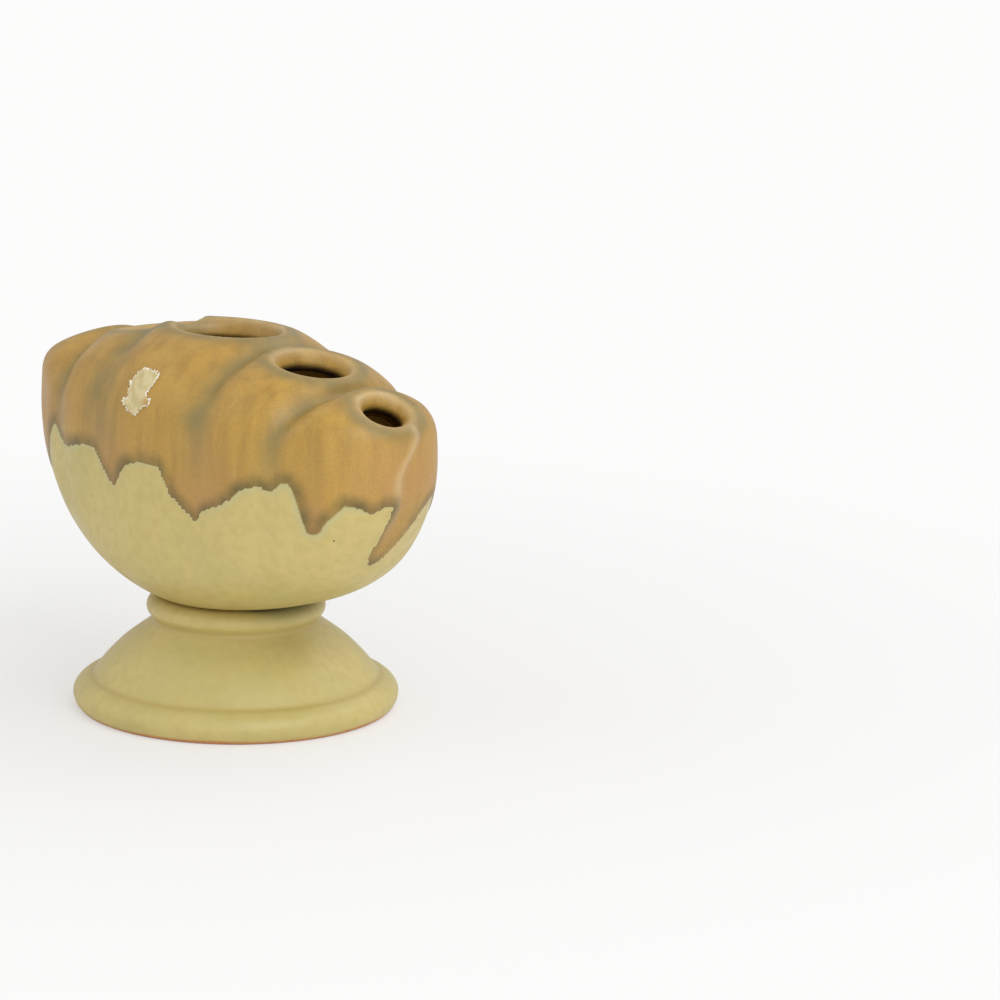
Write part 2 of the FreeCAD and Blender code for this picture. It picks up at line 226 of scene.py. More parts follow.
class Holder:
    """One flower holder as fields: its dome, its mouth plane and its throat."""

    def __init__(self, sizes: HolderSizes) -> None:
        """Keep the sizes.

        Args:
            sizes: The holder's sizes.
        """
        self.sizes = sizes
        self.nod_slope = math.tan(math.radians(sizes.nod))

    def frame(self, points: np.ndarray) -> HolderFrame:
        """Measure points from the mouth's centre, along the mouth's own axes.

        Args:
            points: Points in the vase's frame, one per row.

        Returns:
            Their coordinates, with up along the mouth's axis.
        """
        lean = math.radians(self.sizes.lean)
        x = points[:, 0] - self.sizes.mouth_x
        z = points[:, 2] - self.sizes.mouth_z
        across = x * math.cos(lean) - z * math.sin(lean)
        rise = x * math.sin(lean) + z * math.cos(lean)
        return HolderFrame(across, points[:, 1], rise + points[:, 1] * self.nod_slope)

    def dome(self, points: np.ndarray, inset: float) -> np.ndarray:
        """Measure distances to the holder's side, an oval that swells down to its shoulder.

        Args:
            points: Points, one per row.
            inset: How far the surface lies inside the outer one.

        Returns:
            Distances, negative inside.
        """
        s = self.sizes
        local = self.frame(points)
        share = ramp(-local.up, 0.0, s.shoulder_drop)
        swells = (share ** s.swell_power * (1 + s.swell_bulge - s.swell_bulge * share),
                  (1 - (1 - share) ** 2) ** s.swell_deep)
        halves = [top + (full - top) * swell - inset
                  for top, full, swell in zip(s.top, s.shoulder, swells)]
        square = 2.0 + s.squareness * np.clip(share * s.square_rise, 0.0, 1.0)
        return oval_distance(local.across, local.deep, *halves, square)

    def outside(self, points: np.ndarray) -> np.ndarray:
        """Measure distances to the dome cut off by its mouth plane.

        Args:
            points: Points, one per row.

        Returns:
            Distances, negative inside.
        """
        plane = self.frame(points).up
        return smooth_max(self.dome(points, 0.0), plane, self.sizes.rim_round)

    def throat(self, points: np.ndarray) -> np.ndarray:
        """Measure distances to the oval throat, whose lip rolls inwards.

        Args:
            points: Points, one per row.

        Returns:
            Distances, negative inside.
        """
        s = self.sizes
        local = self.frame(points)
        flare_above = 0.3
        share = np.clip(-local.up / s.roll_drop, -flare_above, 1.0)
        roll = s.lip_roll * (1 - np.abs(1 - share) ** s.roll_power)
        wall = oval_distance(local.across, local.deep, s.hole[0] - roll, s.hole[1] - roll)
        return np.maximum(wall, -(local.up + s.throat_drop))

    def gloom(self, points: np.ndarray) -> np.ndarray:
        """Tell how deep points lie in the painted shade of this throat, under its rolled lip.

        Args:
            points: Points, one per row.

        Returns:
            0 over most of the lip's roll, rising to 1 a little lower down.
        """
        s = self.sizes
        local = self.frame(points)
        within = np.hypot(local.across / s.hole[0], local.deep / s.hole[1])
        depth = ramp(-local.up, s.gloom_start * s.roll_drop, s.gloom_length)
        return depth * (within < 1.0)

    def rim_nearness(self, points: np.ndarray) -> np.ndarray:
        """Tell how near points lie to the flat rim of this mouth.

        Args:
            points: Points, one per row.

        Returns:
            1 on the rim, falling to 0 about 8 mm away.
        """
        s = self.sizes
        local = self.frame(points)
        half_across, half_deep = (size + s.rim_middle for size in s.hole)
        ring = np.sqrt((local.across / half_across) ** 2 + (local.deep / half_deep) ** 2)
        away = np.abs(ring - 1) * min(half_across, half_deep)
        return np.exp(-(away / s.rim_spread) ** 2 - (local.up / s.rim_depth) ** 2)


class Fan:
    """The fan of five holders over its bowl, as a field of distances."""

    def __init__(self, sizes: FanSizes, holders: list[Holder]) -> None:
        """Keep the sizes and the holders.

        Args:
            sizes: Sizes of the fan.
            holders: The holders, from end to end.
        """
        self.sizes = sizes
        self.holders = holders

    def half_width(self, level: np.ndarray, inset: float = 0.0) -> np.ndarray:
        """Return half of the fan's width at each level.

        Args:
            level: Heights over the floor.
            inset: How far the surface lies inside the outer one.

        Returns:
            Half widths.
        """
        s = self.sizes
        fall = np.clip((s.widest - level) / (s.width_drop - inset), 0.0, 0.995)
        return (s.half_width - inset) * (1 - fall ** s.width_power) ** (1 / s.width_power)

    def half_depth(self, level: np.ndarray, inset: float = 0.0) -> np.ndarray:
        """Return half of the fan's depth at each level.

        Args:
            level: Heights over the floor.
            inset: How far the surface lies inside the outer one.

        Returns:
            Half depths.
        """
        s = self.sizes
        away = level - s.deepest
        room = np.where(away < 0, s.depth_drop - inset, s.depth_rise - inset)
        share = np.clip(np.abs(away) / room, 0.0, 0.995)
        return (s.half_depth - inset) * (1 - share ** s.depth_power) ** (1 / s.depth_power)

    def shell(self, points: np.ndarray, inset: float) -> np.ndarray:
        """Measure distances to the plain fan, before the holders shape its top.

        Args:
            points: Points, one per row.
            inset: How far the surface lies inside the outer one.

        Returns:
            Distances, negative inside.
        """
        width = self.half_width(points[:, 2], inset)
        depth = self.half_depth(points[:, 2], inset)
        return oval_distance(points[:, 0], points[:, 1], width, depth)

    def seam(self, points: np.ndarray) -> np.ndarray:
        """Return the height of the soft mould seam down each end of the fan.

        Args:
            points: Points, one per row.

        Returns:
            Heights over the plain surface.
        """
        s = self.sizes
        bend = ramp(points[:, 2], s.seam_bend, s.seam_bend_rise)
        shift = 2 * s.seam_shift * bend ** 2 * (3 - 2 * bend) - s.seam_shift
        drift = np.sign(points[:, 0]) * shift
        ridge = np.exp(-((points[:, 1] - drift) / s.seam_width) ** 2)
        ends = 1 / (1 + np.exp(-(np.abs(points[:, 0]) - s.seam_reach) / s.seam_blend))
        fade = ramp(points[:, 2], s.seam_foot, s.seam_fade)
        return s.seam_height * ridge * ends * fade

    def outside(self, points: np.ndarray) -> np.ndarray:
        """Measure distances to the outer surface.

        Args:
            points: Points, one per row.

        Returns:
            Distances, negative inside.
        """
        s = self.sizes
        tops = self.holders[0].outside(points)
        for holder in self.holders[1:]:
            tops = smooth_min(tops, holder.outside(points), s.holder_joint)
        body = smooth_max(self.shell(points, 0.0), tops, s.shoulder_joint) - self.seam(points)
        return smooth_max(body, s.base - points[:, 2], s.base_round)

    def inside(self, points: np.ndarray) -> np.ndarray:
        """Measure distances to the hollow: one chamber and the throats over it.

        Args:
            points: Points, one per row.

        Returns:
            Distances, negative in the hollow.
        """
        s = self.sizes
        tops = None
        for holder in self.holders:
            roof = holder.frame(points).up + s.wall * s.roof_walls
            room = smooth_max(holder.dome(points, s.wall + s.roof_inset), roof, s.roof_round)
            tops = room if tops is None else smooth_min(tops, room, s.roof_round)
        hollow = smooth_max(self.shell(points, s.wall), tops, s.shoulder_joint)
        hollow = smooth_max(hollow, s.floor - points[:, 2], s.floor_round)
        for holder in self.holders:
            hollow = smooth_min(hollow, holder.throat(points), s.throat_joint)
        return hollow

    def clay(self, points: np.ndarray) -> np.ndarray:
        """Measure distances to the clay between the outer surface and the hollow.

        Args:
            points: Points, one per row.

        Returns:
            Distances, negative in the clay.
        """
        return smooth_max(self.outside(points), -self.inside(points), self.sizes.rim_round)

    def valley_nearness(self, points: np.ndarray) -> np.ndarray:
        """Tell how near points lie to a valley between two holders, where the glaze gets painted
        shade.

        Args:
            points: Points, one per row.

        Returns:
            1 in a valley, falling to 0 on the crowns.
        """
        fields = np.sort(np.stack([h.dome(points, 0.0) for h in self.holders]), axis=0)
        gap = fields[1] - fields[0]
        height = ramp(points[:, 2], self.sizes.valley_foot, self.sizes.valley_rise)
        return np.exp(-(gap / self.sizes.valley_width) ** 2) * height


def cells_round(edges: np.ndarray, axis: int) -> list[np.ndarray]:
    """List the four grid cells round each of some grid edges.

    Args:
        edges: The edges, as the grid index of their lower end.
        axis: The axis along which they lie.

    Returns:
        The cells' indices, in turn round the edges.
    """
    sides = [other for other in range(3) if other != axis]
    cells = []
    for shift in ((0, 0), (-1, 0), (-1, -1), (0, -1)):
        cell = edges.copy()
        cell[:, sides] += shift
        cells.append(cell)
    return cells


def surface_net(values: np.ndarray, low: np.ndarray, step: float) -> tuple[np.ndarray, np.ndarray]:
    """Skin the zero level of a grid of distances with quads.

    Args:
        values: Distances on the grid, negative inside.
        low: The grid's lowest corner.
        step: The grid's spacing.

    Returns:
        Points, one per row, and quads as rows of four point indices.
    """
    shape = np.array(values.shape) - 1
    total = np.zeros((*shape, 3))
    count = np.zeros(shape)
    edges = []
    for axis in range(3):
        near = np.take(values, range(shape[axis]), axis=axis)
        far = np.take(values, range(1, shape[axis] + 1), axis=axis)
        found = np.argwhere((near < 0) != (far < 0))
        start = near[tuple(found.T)]
        spot = found.astype(float)
        spot[:, axis] += start / (start - far[tuple(found.T)])
        for cell in cells_round(found, axis):
            np.add.at(total, tuple(cell.T), spot)
            np.add.at(count, tuple(cell.T), 1)
        edges.append((axis, found, start < 0))
    used = count > 0
    number = np.full(shape, -1)
    number[used] = np.arange(used.sum())
    points = total[used] / count[used][:, None] * step + low
    quads = []
    for axis, found, leaving in edges:
        quad = np.stack([number[tuple(cell.T)] for cell in cells_round(found, axis)], axis=1)
        turned = leaving if axis != 1 else ~leaving
        quad[~turned] = quad[~turned][:, ::-1]
        quads.append(quad)
    return points, np.concatenate(quads)


def settle(points: np.ndarray, distance: Field, rounds: int = 4, longest: float = 0.6,
           flattest: float = 0.05) -> np.ndarray:
    """Move points onto the zero level of a field.

    Args:
        points: Points near the surface.
        distance: The field, a function of points.
        rounds: How many steps each point takes.
        longest: The longest step, as a share of the slope.
        flattest: The least squared slope that a step reckons with.

    Returns:
        The moved points.
    """
    for _ in range(rounds):
        slope = field_slope(points, distance)
        size = np.maximum((slope ** 2).sum(axis=1), flattest)
        move = distance(points) / size
        points = points - slope * np.clip(move, -longest, longest)[:, None]
    return points


def field_slope(points: np.ndarray, distance: Field) -> np.ndarray:
    """Return a field's slope at points.

    Args:
        points: Points, one per row.
        distance: The field, a function of points.

    Returns:
        The slope along each axis.
    """
    reach = 0.05
    slope = np.empty_like(points)
    for axis in range(3):
        ahead, behind = points.copy(), points.copy()
        ahead[:, axis] += reach
        behind[:, axis] -= reach
        slope[:, axis] = (distance(ahead) - distance(behind)) / (2 * reach)
    return slope


def outward_way(points: np.ndarray, distance: Field) -> np.ndarray:
    """Return the direction straight out of a form at points.

    Args:
        points: Points, one per row.
        distance: The form's field, a function of points.

    Returns:
        Directions of unit length.
    """
    slope = field_slope(points, distance)
    return slope / (np.linalg.norm(slope, axis=1)[:, None] + 1e-9)


def add_mesh(name: str, points: np.ndarray, faces: list | np.ndarray) -> bpy.types.Object:
    """Make a smooth-shaded object from points in millimetres.

    Args:
        name: The piece's name.
        points: Points, one per row.
        faces: Faces as lists of point indices.

    Returns:
        The new object.
    """
    mesh = bpy.data.meshes.new(name)
    mesh.from_pydata((points * MM).tolist(), [], [list(map(int, face)) for face in faces])
    mesh.validate()
    mesh.polygons.foreach_set("use_smooth", [True] * len(mesh.polygons))
    mesh.update()
    piece = bpy.data.objects.new(name, mesh)
    bpy.context.scene.collection.objects.link(piece)
    return piece


def set_attribute(piece: bpy.types.Object, name: str, values: np.ndarray) -> None:
    """Give each point of a piece a number that its glaze reads.

    Args:
        piece: The piece.
        name: The attribute's name.
        values: One number per point.
    """
    attribute = piece.data.attributes.new(name, "FLOAT", "POINT")
    attribute.data.foreach_set("value", values.astype(np.float32))


class DripLine:
    """Lower edge of the ochre glaze, as turning points round the fan."""

    # angle round the fan's oval in degrees, 0 at the +X end and -90 at the front; height
    FRONT = [
        (-147, 92), (-141, 88), (-137.5, 96), (-134, 104.5), (-130.6, 110), (-127, 104),
        (-123.2, 102.8), (-116.5, 105.9), (-112.3, 107.7), (-109.3, 107.2), (-107, 101.7),
        (-104.2, 97.6), (-101.4, 93.7), (-99.5, 98.6), (-96.7, 104.6), (-93.2, 106.1),
        (-91, 107.5), (-85.5, 107.5), (-83.6, 103), (-81.7, 97.2), (-77.9, 93.1), (-75, 90.4),
        (-72.5, 88), (-70.6, 92.8), (-66.4, 96.3), (-62.9, 99.6), (-60.3, 104.3),
        (-56.4, 106.5), (-53.9, 106.4), (-51.3, 105), (-48.8, 108.8), (-46.9, 110.3),
        (-45.1, 107.2), (-42.9, 100.6), (-40.8, 95), (-38.4, 90), (-35.4, 89.3), (-33.9, 91.3),
        (-33.5, 94.4), (-31.1, 98.1), (-28, 102.3), (-23.8, 101.5), (-17.1, 98.3),
        (-11.3, 100.8), (-7.2, 100.9), (-6.3, 92.7), (-7.4, 83.9), (-8.4, 77.5), (-5.5, 73.6),
        (0.3, 75), (5.4, 80.6), (11.5, 88.5), (16.4, 96.9), (23.9, 100.6), (27, 92), (31, 94),
    ]
    BACK = [
        (38, 103), (46, 106), (52, 101), (57, 92), (60, 87), (63, 91), (68, 101), (77, 107),
        (86, 105), (91, 98), (95, 95), (99, 99), (106, 108), (115, 106), (121, 97), (125, 84),
        (128, 80), (131, 86), (137, 99), (147, 105), (156, 102), (162, 95), (167, 92),
        (172, 97), (181, 103), (190, 101), (196, 90), (200, 82), (203, 84), (208, 96),
        (209, 100), (213, 92),
    ]
    STEPS = 24
    SMOOTHED = 15
    REACH = 40.0
    LOWEST = 60
    HIGHEST = 135
    BLOCK = 4000

    def __init__(self, fan: Fan) -> None:
        """Lay the line on the fan.

        Args:
            fan: The fan that carries the glaze.
        """
        turns = np.array(self.FRONT + self.BACK, dtype=float)
        fine = np.linspace(0, len(turns) - 1, len(turns) * self.STEPS)
        angle, level = (self.smooth(np.interp(fine, np.arange(len(turns)), row))
                        for row in turns.T)
        spread = np.radians(angle)
        x = fan.half_width(level) * np.cos(spread)
        y = fan.half_depth(level) * np.sin(spread)
        self.points = np.stack([x, y, level], axis=1)
        self.angle = angle
        self.level = level
        self.fan = fan

    def smooth(self, values: np.ndarray) -> np.ndarray:
        """Round off the turns of the line, apart from its two ends.

        Args:
            values: Angles or heights along the line.

        Returns:
            The same, smoothed.
        """
        kernel = np.hanning(self.SMOOTHED) / np.hanning(self.SMOOTHED).sum()
        end = self.SMOOTHED // 2 + 1
        values[end:-end] = np.convolve(values, kernel, "same")[end:-end]
        return values

    def above(self, points: np.ndarray) -> np.ndarray:
        """Tell which points the ochre glaze covers, by how often the line passes below them.

        Args:
            points: Points on the fan.

        Returns:
            True where covered.
        """
        x = points[:, 0] / self.fan.half_width(points[:, 2])
        y = points[:, 1] / self.fan.half_depth(points[:, 2])
        angle = np.degrees(np.arctan2(y, x))
        angle = np.where(angle < self.FRONT[0][0], angle + 360, angle)
        crossings = np.zeros(len(points), dtype=int)
        for start in range(len(self.angle) - 1):
            ends = self.angle[start], self.angle[start + 1]
            if ends[0] == ends[1]:
                continue
            between = (angle >= min(ends)) & (angle < max(ends))
            share = (angle[between] - ends[0]) / (ends[1] - ends[0])
            height = self.level[start] + (self.level[start + 1] - self.level[start]) * share
            crossings[between] += points[between, 2] > height
        return crossings % 2 == 1

    def distance(self, points: np.ndarray) -> np.ndarray:
        """Measure distances to the line, positive where the ochre glaze covers.

        Args:
            points: Points on the fan.

        Returns:
            Distances, no further than the reach.
        """
        reach = np.full(len(points), self.REACH)
        near = np.flatnonzero((points[:, 2] > self.LOWEST) & (points[:, 2] < self.HIGHEST))
        for start in range(0, len(near), self.BLOCK):
            part = near[start:start + self.BLOCK]
            apart = points[part][:, None, :] - self.points[None, :, :]
            reach[part] = np.minimum(self.REACH, np.sqrt((apart ** 2).sum(axis=2).min(axis=1)))
        return np.where(self.above(points), reach, -reach)


class Nodes:
    """A small helper that adds and joins shader nodes."""

    def __init__(self, material: bpy.types.Material) -> None:
        """Clear the material and give it its output and main shader.

        Args:
            material: The material to fill.
        """
        material.use_nodes = True
        self.tree = material.node_tree
        self.tree.nodes.clear()
        self.output = self.tree.nodes.new("ShaderNodeOutputMaterial")
        self.shader = self.tree.nodes.new("ShaderNodeBsdfPrincipled")
        self.join(self.shader.outputs[0], self.output.inputs[0])
        self.coordinates = self.tree.nodes.new("ShaderNodeTexCoord").outputs["Object"]

    def join(self, source: Socket, target: Socket) -> None:
        """Join an output to an input.

        Args:
            source: The output.
            target: The input.
        """
        self.tree.links.new(source, target)

    def attribute(self, name: str) -> Socket:
        """Read a number that the mesh carries.

        Args:
            name: The attribute's name.

        Returns:
            Its output.
        """
        node = self.tree.nodes.new("ShaderNodeAttribute")
        node.attribute_name = name
        return node.outputs["Fac"]

    def noise(self, scale: float, detail: float = 3.0,
              stretch: tuple[float, float, float] = (1, 1, 1)) -> Socket:
        """Add noise over the object's own coordinates.

        Args:
            scale: Repeats per metre.
            detail: Octaves.
            stretch: Scale along each axis.

        Returns:
            Its value from 0 to 1.
        """
        mapping = self.tree.nodes.new("ShaderNodeMapping")
        mapping.inputs["Scale"].default_value = stretch
        self.join(self.coordinates, mapping.inputs["Vector"])
        node = self.tree.nodes.new("ShaderNodeTexNoise")
        node.inputs["Scale"].default_value = scale
        node.inputs["Detail"].default_value = detail
        self.join(mapping.outputs[0], node.inputs["Vector"])
        return node.outputs["Fac"]

    def math(self, kind: str, first: Socket | float, second: Socket | float) -> Socket:
        """Work out one operation on two values.

        Args:
            kind: The operation.
            first: An output or a number.
            second: An output or a number.

        Returns:
            The result.
        """
        node = self.tree.nodes.new("ShaderNodeMath")
        node.operation = kind
        for socket, value in zip(node.inputs, (first, second)):
            if isinstance(value, (int, float)):
                socket.default_value = value
            else:
                self.join(value, socket)
        return node.outputs[0]

    def span(self, value: Socket, low: float, high: float, to_low: float = 0.0,
             to_high: float = 1.0) -> Socket:
        """Map a value smoothly from one range to another.

        Args:
            value: The value.
            low: Start of its range.
            high: End of its range.
            to_low: Result at the start.
            to_high: Result at the end.

        Returns:
            The mapped value.
        """
        node = self.tree.nodes.new("ShaderNodeMapRange")
        node.interpolation_type = "SMOOTHSTEP"
        for socket, number in zip(list(node.inputs)[1:5], (low, high, to_low, to_high)):
            socket.default_value = number
        self.join(value, node.inputs[0])
        return node.outputs[0]

    def mix(self, share: Socket, first: Socket | Rgb, second: Socket | Rgb) -> Socket:
        """Mix two colours.

        Args:
            share: Share of the second, an output.
            first: A colour or an output.
            second: A colour or an output.

        Returns:
            The mixed colour.
        """
        node = self.tree.nodes.new("ShaderNodeMix")
        node.data_type = "RGBA"
        colours = [socket for socket in node.inputs if socket.type == "RGBA"]
        self.join(share, node.inputs[0])
        for socket, value in zip(colours, (first, second)):
            if isinstance(value, tuple):
                socket.default_value = (*value, 1.0)
            else:
                self.join(value, socket)
        return next(socket for socket in node.outputs if socket.type == "RGBA")

    def tint(self, colour: Socket | Rgb, share: Socket, strength: float, other: Rgb) -> Socket:
        """Tint a colour with another one.

        Args:
            colour: The colour.
            share: Where the other one lies, an output.
            strength: Its share where it lies fully.
            other: The other colour.

        Returns:
            The tinted colour.
        """
        return self.mix(self.math("MULTIPLY", share, strength), colour, other)

    def bump(self, height: Socket, distance: float, strength: float) -> None:
        """Give the shader a bump from a height.

        Args:
            height: The height, an output.
            distance: Its depth in metres.
            strength: Its share.
        """
        node = self.tree.nodes.new("ShaderNodeBump")
        node.inputs["Distance"].default_value = distance
        node.inputs["Strength"].default_value = strength
        self.join(height, node.inputs["Height"])
        self.join(node.outputs[0], self.shader.inputs["Normal"])


@dataclass(frozen=True)
class GlazeFinish:
    """Colours and gloss of the two glazes and the bare clay, with the colours of a painted
    highlight and painted shade.
    """

    base: Rgb = linear(206, 187, 118)
    # Darker base tone: the glaze's fine mottling, and also painted shade low on the fan and in the
    # foot's grooves
    base_mottle_and_shade: Rgb = linear(188, 168, 100)
    base_green: Rgb = linear(192, 179, 113)
    ochre: Rgb = linear(196, 154, 68)
    ochre_deep: Rgb = linear(164, 124, 52)
    ochre_pink: Rgb = linear(186, 140, 80)
    grey_green: Rgb = linear(128, 117, 72)
    edge: Rgb = linear(92, 84, 40)
    halo: Rgb = linear(190, 184, 132)
    # Painted highlight: a pale line along the lips of the mouths and down the seam ridges
    lip: Rgb = linear(222, 200, 158)
    pit: Rgb = linear(92, 76, 44)
    clay: Rgb = linear(222, 168, 112)
    clay_shade: Rgb = linear(176, 120, 74)
    # Painted shade: near-black deep inside the throats
    dark: Rgb = linear(40, 26, 12)
    roughness: float = 0.42

    def pits(self, nodes: Nodes, colour: Socket) -> Socket:
        """Add the scattered dark specks of the kiln.

        Args:
            nodes: The material's nodes.
            colour: The colour without them, an output.

        Returns:
            The colour with them.
        """
        cells = nodes.tree.nodes.new("ShaderNodeTexVoronoi")
        cells.inputs["Scale"].default_value = 95.0
        nodes.join(nodes.coordinates, cells.inputs["Vector"])
        spot = nodes.span(cells.outputs["Distance"], 0.03, 0.055, 1.0, 0.0)
        few = nodes.span(nodes.noise(38.0, 1.0), 0.60, 0.66)
        return nodes.mix(nodes.math("MULTIPLY", spot, few), colour, self.pit)

    def plain(self, nodes: Nodes) -> Socket:
        """Lay the pale base glaze with its faint mottling.

        Args:
            nodes: The material's nodes.

        Returns:
            Its colour.
        """
        broad = nodes.span(nodes.noise(16.0, 4.0), 0.38, 0.66)
        fine = nodes.span(nodes.noise(240.0, 4.0), 0.35, 0.75, 0.0, 0.5)
        colour = nodes.mix(broad, self.base, self.base_green)
        return nodes.mix(fine, colour, self.base_mottle_and_shade)

    def foot_material(self) -> bpy.types.Material:
        """Make the glaze of foot and collar, bare at the standing ring and painted darker in the
        grooves.

        Returns:
            The material.
        """
        material = bpy.data.materials.new("foot_glaze")
        nodes = Nodes(material)
        # Grooves and the joint under the bowl painted darker: pooled glaze together with painted
        # shade
        colour = nodes.mix(nodes.attribute("darker_band"), self.plain(nodes), self.base_mottle_and_shade)
        colour = self.pits(nodes, colour)
        bare = nodes.span(nodes.attribute("bare"), 0.35, 0.65)
        clay = nodes.mix(nodes.noise(500.0), self.clay, self.clay_shade)
        nodes.join(nodes.mix(bare, colour, clay), nodes.shader.inputs["Base Color"])
        gloss = nodes.span(bare, 0.0, 1.0, self.roughness, 0.85)
        nodes.join(gloss, nodes.shader.inputs["Roughness"])
        nodes.shader.inputs["Coat Weight"].default_value = 0.05
        nodes.shader.inputs["Coat Roughness"].default_value = 0.25
        nodes.bump(nodes.noise(120.0, 4.0), 0.0006, 0.25)
        return material

    def fan_material(self) -> bpy.types.Material:
        """Make the glaze of the fan: ochre run down over the pale base, with painted highlights and
        painted shade.

        Returns:
            The material.
        """
        material = bpy.data.materials.new("fan_glaze")
        nodes = Nodes(material)
        run = nodes.attribute("run")
        waver = nodes.math("SUBTRACT", nodes.noise(420.0, 4.0), 0.5)
        run = nodes.math("ADD", run, nodes.math("MULTIPLY", waver, 1.3))
        streaks = nodes.noise(150.0, 5.0, (1.0, 1.0, 0.10))
        ochre = nodes.mix(nodes.span(streaks, 0.30, 0.75, 0.0, 0.7), self.ochre, self.ochre_deep)
        zones = nodes.math("MULTIPLY", nodes.span(nodes.noise(22.0, 3.0), 0.44, 0.62), 0.75)
        low = nodes.span(nodes.attribute("height"), 105.0, 140.0, 1.0, 0.15)
        ochre = nodes.mix(nodes.math("MULTIPLY", zones, low), ochre, self.ochre_pink)
        speck = nodes.span(nodes.noise(1400.0, 3.0), 0.45, 0.70, 0.0, 0.35)
        ochre = nodes.mix(speck, ochre, self.grey_green)
        patchiness = nodes.span(nodes.noise(90.0, 4.0), 0.25, 0.70, 0.45, 1.0)
        # Painted shade: the valleys between the holders are tinted grey-green and darker, in
        # patches
        valley = nodes.math("MULTIPLY", nodes.attribute("valley"), patchiness)
        ochre = nodes.tint(ochre, valley, 0.85, self.grey_green)
        rim = nodes.math("MULTIPLY", nodes.attribute("rim"), patchiness)
        ochre = nodes.tint(ochre, rim, 0.80, self.grey_green)
        # Painted highlight: a thin pale line along the lips of the mouths
        ochre = nodes.tint(ochre, nodes.attribute("lip"), 0.5, self.lip)
        # Painted highlight: the pale lip colour laid along the ridge of the mould seam
        ochre = nodes.tint(ochre, nodes.attribute("seam"), 0.35, self.lip)
        # The ochre pools darker along its running edge
        darker_band = nodes.math("MULTIPLY", nodes.span(run, 0.8, 7.0, 1.0, 0.0), patchiness)
        ochre = nodes.tint(ochre, darker_band, 0.9, self.edge)
        base = nodes.mix(nodes.span(run, -3.5, -0.6, 0.0, 0.7), self.plain(nodes), self.halo)
        shade = nodes.span(nodes.attribute("height"), 47.0, 60.0, 0.8, 0.0)
        base = nodes.mix(shade, base, self.base_mottle_and_shade)
        colour = nodes.mix(nodes.span(run, -0.5, 0.7), base, ochre)
        colour = self.pits(nodes, colour)
        # Painted shade: the throats go near-black below their rolled lips
        colour = nodes.mix(nodes.attribute("hollow"), colour, self.dark)
        nodes.join(colour, nodes.shader.inputs["Base Color"])
        gloss = nodes.span(nodes.noise(60.0, 3.0), 0.3, 0.7, 0.36, self.roughness + 0.08)
        nodes.join(gloss, nodes.shader.inputs["Roughness"])
        nodes.shader.inputs["Coat Weight"].default_value = 0.06
        nodes.shader.inputs["Coat Roughness"].default_value = 0.22
        nodes.bump(nodes.noise(150.0, 5.0), 0.0006, 0.30)
        return material


